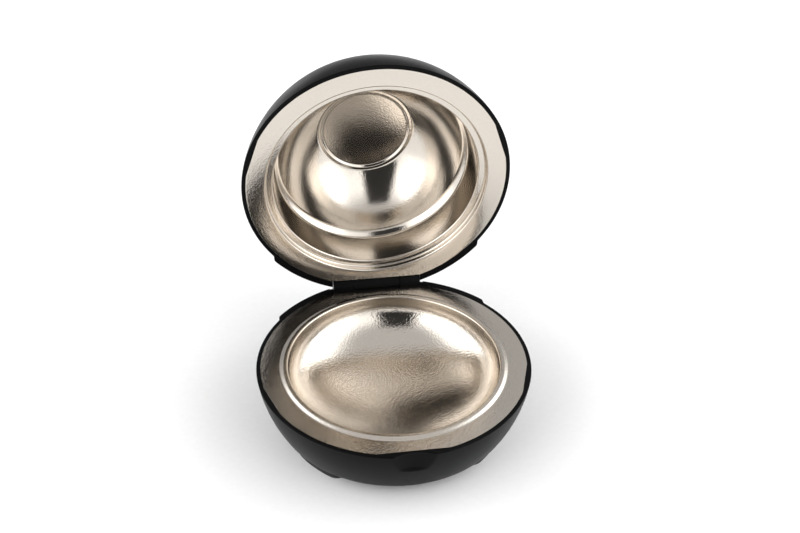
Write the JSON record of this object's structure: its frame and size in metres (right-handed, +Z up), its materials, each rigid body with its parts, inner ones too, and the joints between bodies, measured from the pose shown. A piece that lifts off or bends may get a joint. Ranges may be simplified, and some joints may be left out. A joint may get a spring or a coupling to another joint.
{
  "type": "signal blocking key box",
  "caption": "Round desktop box that opens like a clam on a rear hinge, black outside, with a pressed and plated liner in each half that shields a remote key from radio signals.",
  "frame": {"origin": "on the ground, under the middle of the overall bounding box of the open box", "axes": "+X to the right seen from the thumb scoop, +Y from the thumb scoop at the front to the hinge at the back, +Z up"},
  "size_m": [0.145, 0.193, 0.1787],
  "materials": {
    "shell_black": "satin black moulded ABS with a fine eroded grain",
    "plated_liner": "pressed steel sheet with warm nickel plating and a fine orange-peel grain",
    "adhesive_tape": "white double-sided foam adhesive",
    "foam_pad": "grey closed-cell foam",
    "magnet_plating": "bright nickel-plated magnet",
    "foot_rubber": "matt black rubber",
    "ballast_steel": "cut and zinc-plated steel",
    "screw_steel": "zinc-plated screws",
    "pin_steel": "ground steel pin"
  },
  "bodies": {
    "base": {"base_shell": "shell_black", "base_liner": "plated_liner", "base_flange_tape": "adhesive_tape", "ballast_ring": "ballast_steel", "ballast_screws": "screw_steel", "bowl_pad": "foam_pad", "base_magnet_left": "magnet_plating", "base_magnet_right": "magnet_plating", "foot_front_left": "foot_rubber", "foot_front_right": "foot_rubber", "foot_rear_left": "foot_rubber", "foot_rear_right": "foot_rubber", "hinge_pin": "pin_steel", "pin_plug_left": "shell_black", "pin_plug_right": "shell_black"},
    "lid": {"lid_shell": "shell_black", "lid_liner": "plated_liner", "lid_flange_tape": "adhesive_tape", "lid_crown_tape": "adhesive_tape", "lid_magnet_left": "magnet_plating", "lid_magnet_right": "magnet_plating"}
  },
  "joints": [
    {"name": "lid_hinge", "type": "hinge", "parent": "base", "child": "lid", "pos_m": [0, 0.04505, 0.03666], "axis": [1, 0, 0], "range_deg": [0, 87]}
  ]
}
